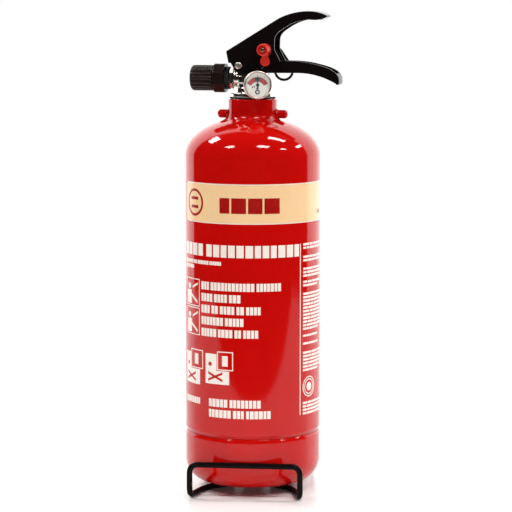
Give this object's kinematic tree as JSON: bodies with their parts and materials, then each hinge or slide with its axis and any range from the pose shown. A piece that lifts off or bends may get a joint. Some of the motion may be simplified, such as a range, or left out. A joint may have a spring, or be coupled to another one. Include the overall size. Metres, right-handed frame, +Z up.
{
  "type": "fire extinguisher",
  "caption": "Small stored-pressure fire extinguisher: domed cylinder, squeeze lever over a carry handle, pressure gauge, short nozzle, safety pin and wire stand.",
  "frame": {"origin": "on the cylinder's axis at the floor, in the middle of the base cap's pressed nub", "axes": "+Z up along the cylinder, +X towards the tips of the lever and carry handle, -X along the nozzle, -Y towards the gauge and label"},
  "size_m": [0.1273, 0.1292, 0.3871],
  "materials": {
    "red_enamel": "gloss enamel",
    "cream_print": "satin print",
    "rubber": "matte",
    "nickel_plate": "bright nickel plate",
    "steel": "zinc-plated",
    "white_plastic": "moulded",
    "black_plastic": "moulded",
    "brass": "machined",
    "dial_face": "printed card",
    "clear_lens": "polished",
    "black_coat": "gloss powder coat",
    "red_plastic": "moulded"
  },
  "bodies": {
    "vessel": {"cylinder_shell": "red_enamel", "base_cap": "red_enamel", "neck_ring": "red_enamel", "hanging_lug_left": "red_enamel", "hanging_lug_right": "red_enamel", "label_band": "cream_print", "neck_gasket": "rubber", "valve_body": "nickel_plate", "stem_o_ring": "rubber", "valve_spring": "steel", "siphon_adapter": "white_plastic", "dip_tube": "white_plastic", "strainer": "white_plastic", "outlet_nipple": "nickel_plate", "nozzle_washer": "rubber", "nozzle_collar": "black_plastic", "nozzle_body": "black_plastic", "nozzle_insert": "white_plastic", "gauge_stem": "brass", "gauge_case": "nickel_plate", "gauge_bourdon": "brass", "gauge_dial": "dial_face", "gauge_lens": "clear_lens", "carry_handle": "black_coat", "pivot_rivet": "steel", "handle_pin": "steel", "wire_stand": "black_coat"},
    "lever": {"squeeze_lever": "black_coat"},
    "stem": {"valve_stem": "steel", "stem_seal": "rubber"},
    "pin": {"safety_pin": "steel"},
    "ring": {"pull_ring": "black_plastic"},
    "seal": {"tamper_seal": "red_plastic"},
    "needle": {"gauge_needle": "black_plastic"}
  },
  "joints": [
    {"name": "lever_hinge", "type": "hinge", "parent": "vessel", "child": "lever", "pos_m": [-0.0091, 0, 0.3437], "axis": [0, 1, 0], "range_deg": [0, 13], "stiffness_Nm_per_rad": 1.2, "springref_deg": -14.32},
    {"name": "stem_slide", "type": "slide", "parent": "vessel", "child": "stem", "axis": [0, 0, 1], "range_m": [-0.0037, 0], "deforming": ["valve_spring"]},
    {"name": "safety_pin_slide", "type": "slide", "parent": "vessel", "child": "pin", "axis": [0, 1, 0], "range_m": [0, 0.04]},
    {"name": "pull_ring_swing", "type": "hinge", "parent": "pin", "child": "ring", "pos_m": [0.0131, 0.0185, 0.3565], "axis": [0.8988, 0, 0.4384], "range_deg": [-8, 100]},
    {"name": "tamper_seal_slide", "type": "slide", "parent": "vessel", "child": "seal", "axis": [0, -1, 0], "range_m": [0, 0.02]},
    {"name": "gauge_needle_turn", "type": "hinge", "parent": "vessel", "child": "needle", "pos_m": [0.00937, -0.02318, 0.3287], "axis": [0.3746, -0.9272, 0], "range_deg": [-50, 50], "stiffness_Nm_per_rad": 0.0005}
  ],
  "couplings": [
    {"joint": "stem_slide", "follows": "lever_hinge", "m_per_rad": -0.0158}
  ]
}
